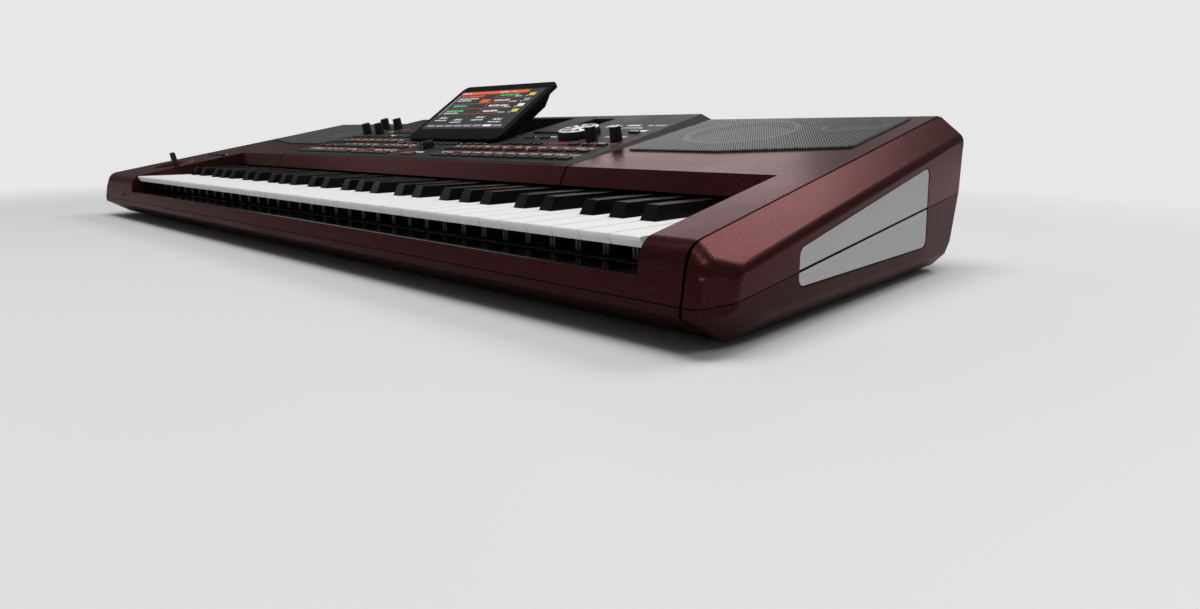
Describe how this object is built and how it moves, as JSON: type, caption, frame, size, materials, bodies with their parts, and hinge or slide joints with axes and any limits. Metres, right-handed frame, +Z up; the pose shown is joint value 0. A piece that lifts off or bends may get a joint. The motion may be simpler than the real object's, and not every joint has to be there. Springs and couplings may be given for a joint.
{
  "type": "arranger keyboard",
  "caption": "Electronic arranger keyboard: full-size keys, tilting touch display, joystick, dial, knobs, button panel and stereo speakers in a wedge-shaped red case.",
  "frame": {"origin": "on the floor under the middle of the case", "axes": "+X to the player's right, +Y from the player to the rear, +Z up"},
  "size_m": [1.0308, 0.3745, 0.1724],
  "materials": {
    "red_case": "dark red metallic lacquer",
    "dark_panel": "fine-textured charcoal",
    "tray": "dark red satin lacquer",
    "silver_plate": "satin silver",
    "grille_steel": "satin black, perforated",
    "white_key": "polished white",
    "black_key": "satin black",
    "key_steel": "zinc-plated",
    "felt": "red felt",
    "board": "solder-masked laminate",
    "display_frame": "satin black",
    "screen": "anti-glare",
    "pin_steel": "turned",
    "knob_black": "soft-touch black",
    "dial": "silver cap, black rim",
    "button": "grey, moulded",
    "start_button": "translucent red",
    "joystick": "satin black",
    "socket": "moulded black",
    "basket": "black",
    "cone": "pressed pulp",
    "supply": "plain sheet",
    "rubber": "moulded",
    "screw": "blackened"
  },
  "bodies": {
    "case": {"upper_case": "red_case", "centre_fascia": "red_case", "left_cheek_upper": "red_case", "right_cheek_upper": "red_case", "lower_case": "tray", "left_cheek_lower": "tray", "right_cheek_lower": "tray", "control_panel": "dark_panel", "side_inserts": "silver_plate", "left_grille": "grille_steel", "right_grille": "grille_steel", "keybed_frame": "key_steel", "rear_jack_plate": "key_steel", "key_felts": "felt", "key_contact_board": "board", "main_board": "board", "panel_board": "board", "display_bracket": "pin_steel", "joystick_base": "joystick", "audio_jacks": "socket", "data_sockets": "socket", "mains_inlet": "socket", "headphone_jack": "socket", "panel_pots": "socket", "speaker_baskets": "basket", "speaker_cones": "cone", "power_supply": "supply", "rubber_feet": "rubber", "case_screws": "screw"},
    "keys_c": {"keys_c": "white_key"},
    "keys_cs": {"keys_cs": "black_key"},
    "keys_d": {"keys_d": "white_key"},
    "keys_ds": {"keys_ds": "black_key"},
    "keys_e": {"keys_e": "white_key"},
    "keys_f": {"keys_f": "white_key"},
    "keys_fs": {"keys_fs": "black_key"},
    "keys_g": {"keys_g": "white_key"},
    "keys_gs": {"keys_gs": "black_key"},
    "keys_a": {"keys_a": "white_key"},
    "keys_as": {"keys_as": "black_key"},
    "keys_b": {"keys_b": "white_key"},
    "display": {"display_bezel": "display_frame", "display_glass": "screen", "display_back": "display_frame"},
    "joystick_gimbal": {"joystick_gimbal": "joystick"},
    "joystick_lever": {"joystick_lever": "joystick"},
    "data_dial": {"data_dial": "dial"},
    "crossfader": {"crossfader": "knob_black"},
    "style_buttons": {"style_buttons": "button"},
    "sound_buttons": {"sound_buttons": "button"},
    "menu_buttons": {"menu_buttons": "button"},
    "start_button": {"start_button": "start_button"},
    "assign_switches": {"assign_switches": "button"},
    "power_switch": {"power_switch": "socket"},
    "mix_knob_1": {"mix_knob_1": "knob_black"},
    "mix_knob_2": {"mix_knob_2": "knob_black"},
    "mix_knob_3": {"mix_knob_3": "knob_black"},
    "mix_knob_4": {"mix_knob_4": "knob_black"},
    "level_knob_1": {"level_knob_1": "knob_black"},
    "level_knob_2": {"level_knob_2": "knob_black"}
  },
  "joints": [
    {"name": "key_c_press", "type": "hinge", "parent": "case", "child": "keys_c", "pos_m": [0, 0.02298, 0.05], "axis": [1, 0, 0], "range_deg": [0, 2.9], "stiffness_Nm_per_rad": 2, "springref_deg": -17.19},
    {"name": "key_cs_press", "type": "hinge", "parent": "case", "child": "keys_cs", "pos_m": [0, 0.02298, 0.05], "axis": [1, 0, 0], "range_deg": [0, 2.9], "stiffness_Nm_per_rad": 2, "springref_deg": -17.19},
    {"name": "key_d_press", "type": "hinge", "parent": "case", "child": "keys_d", "pos_m": [0, 0.02298, 0.05], "axis": [1, 0, 0], "range_deg": [0, 2.9], "stiffness_Nm_per_rad": 2, "springref_deg": -17.19},
    {"name": "key_ds_press", "type": "hinge", "parent": "case", "child": "keys_ds", "pos_m": [0, 0.02298, 0.05], "axis": [1, 0, 0], "range_deg": [0, 2.9], "stiffness_Nm_per_rad": 2, "springref_deg": -17.19},
    {"name": "key_e_press", "type": "hinge", "parent": "case", "child": "keys_e", "pos_m": [0, 0.02298, 0.05], "axis": [1, 0, 0], "range_deg": [0, 2.9], "stiffness_Nm_per_rad": 2, "springref_deg": -17.19},
    {"name": "key_f_press", "type": "hinge", "parent": "case", "child": "keys_f", "pos_m": [0, 0.02298, 0.05], "axis": [1, 0, 0], "range_deg": [0, 2.9], "stiffness_Nm_per_rad": 2, "springref_deg": -17.19},
    {"name": "key_fs_press", "type": "hinge", "parent": "case", "child": "keys_fs", "pos_m": [0, 0.02298, 0.05], "axis": [1, 0, 0], "range_deg": [0, 2.9], "stiffness_Nm_per_rad": 2, "springref_deg": -17.19},
    {"name": "key_g_press", "type": "hinge", "parent": "case", "child": "keys_g", "pos_m": [0, 0.02298, 0.05], "axis": [1, 0, 0], "range_deg": [0, 2.9], "stiffness_Nm_per_rad": 2, "springref_deg": -17.19},
    {"name": "key_gs_press", "type": "hinge", "parent": "case", "child": "keys_gs", "pos_m": [0, 0.02298, 0.05], "axis": [1, 0, 0], "range_deg": [0, 2.9], "stiffness_Nm_per_rad": 2, "springref_deg": -17.19},
    {"name": "key_a_press", "type": "hinge", "parent": "case", "child": "keys_a", "pos_m": [0, 0.02298, 0.05], "axis": [1, 0, 0], "range_deg": [0, 2.9], "stiffness_Nm_per_rad": 2, "springref_deg": -17.19},
    {"name": "key_as_press", "type": "hinge", "parent": "case", "child": "keys_as", "pos_m": [0, 0.02298, 0.05], "axis": [1, 0, 0], "range_deg": [0, 2.9], "stiffness_Nm_per_rad": 2, "springref_deg": -17.19},
    {"name": "key_b_press", "type": "hinge", "parent": "case", "child": "keys_b", "pos_m": [0, 0.02298, 0.05], "axis": [1, 0, 0], "range_deg": [0, 2.9], "stiffness_Nm_per_rad": 2, "springref_deg": -17.19},
    {"name": "display_tilt", "type": "hinge", "parent": "case", "child": "display", "pos_m": [0, 0.04163, 0.1], "axis": [1, 0, 0], "range_deg": [-22, 0]},
    {"name": "joystick_fore_aft", "type": "hinge", "parent": "case", "child": "joystick_gimbal", "pos_m": [-0.433, -0.11087, 0.04989], "axis": [1, 0, 0], "range_deg": [-15, 15], "stiffness_Nm_per_rad": 0.12},
    {"name": "joystick_sideways", "type": "hinge", "parent": "joystick_gimbal", "child": "joystick_lever", "pos_m": [-0.433, -0.11087, 0.04989], "axis": [0, 0.9816, 0.1908], "range_deg": [-15, 15], "stiffness_Nm_per_rad": 0.12},
    {"name": "mix_knob_1_turn", "type": "hinge", "parent": "case", "child": "mix_knob_1", "pos_m": [-0.25, 0.08032, 0.1126], "axis": [0, -0.2147, 0.9767], "range_deg": [-140, 140]},
    {"name": "mix_knob_2_turn", "type": "hinge", "parent": "case", "child": "mix_knob_2", "pos_m": [-0.218, 0.08032, 0.1126], "axis": [0, -0.2147, 0.9767], "range_deg": [-140, 140]},
    {"name": "mix_knob_3_turn", "type": "hinge", "parent": "case", "child": "mix_knob_3", "pos_m": [-0.25, 0.1106, 0.11926], "axis": [0, -0.2147, 0.9767], "range_deg": [-140, 140]},
    {"name": "mix_knob_4_turn", "type": "hinge", "parent": "case", "child": "mix_knob_4", "pos_m": [-0.218, 0.1106, 0.11926], "axis": [0, -0.2147, 0.9767], "range_deg": [-140, 140]},
    {"name": "level_knob_1_turn", "type": "hinge", "parent": "case", "child": "level_knob_1", "pos_m": [0.212, 0.05151, 0.10627], "axis": [0, -0.2147, 0.9767], "range_deg": [-140, 140]},
    {"name": "level_knob_2_turn", "type": "hinge", "parent": "case", "child": "level_knob_2", "pos_m": [0.244, 0.05151, 0.10627], "axis": [0, -0.2147, 0.9767], "range_deg": [-140, 140]},
    {"name": "data_dial_turn", "type": "hinge", "parent": "case", "child": "data_dial", "pos_m": [0.175, 0.073, 0.11099], "axis": [0, -0.2147, 0.9767], "continuous": true},
    {"name": "crossfader_slide", "type": "slide", "parent": "case", "child": "crossfader", "axis": [1, 0, 0], "range_m": [-0.021, 0.021]},
    {"name": "style_buttons_press", "type": "slide", "parent": "case", "child": "style_buttons", "axis": [0, 0.2147, -0.9767], "range_m": [0, 0.001], "stiffness_N_per_m": 2500, "springref_m": -0.001},
    {"name": "sound_buttons_press", "type": "slide", "parent": "case", "child": "sound_buttons", "axis": [0, 0.2147, -0.9767], "range_m": [0, 0.001], "stiffness_N_per_m": 2000, "springref_m": -0.001},
    {"name": "menu_buttons_press", "type": "slide", "parent": "case", "child": "menu_buttons", "axis": [0, 0.2147, -0.9767], "range_m": [0, 0.001], "stiffness_N_per_m": 1200, "springref_m": -0.001},
    {"name": "start_button_press", "type": "slide", "parent": "case", "child": "start_button", "axis": [0, 0.2147, -0.9767], "range_m": [0, 0.001], "stiffness_N_per_m": 500, "springref_m": -0.001},
    {"name": "assign_switches_press", "type": "slide", "parent": "case", "child": "assign_switches", "axis": [0, 0.1908, -0.9816], "range_m": [0, 0.001], "stiffness_N_per_m": 500, "springref_m": -0.001},
    {"name": "power_switch_rock", "type": "hinge", "parent": "case", "child": "power_switch", "pos_m": [0.158, 0.18302, 0.091], "axis": [1, 0, 0], "range_deg": [-12, 0]}
  ]
}
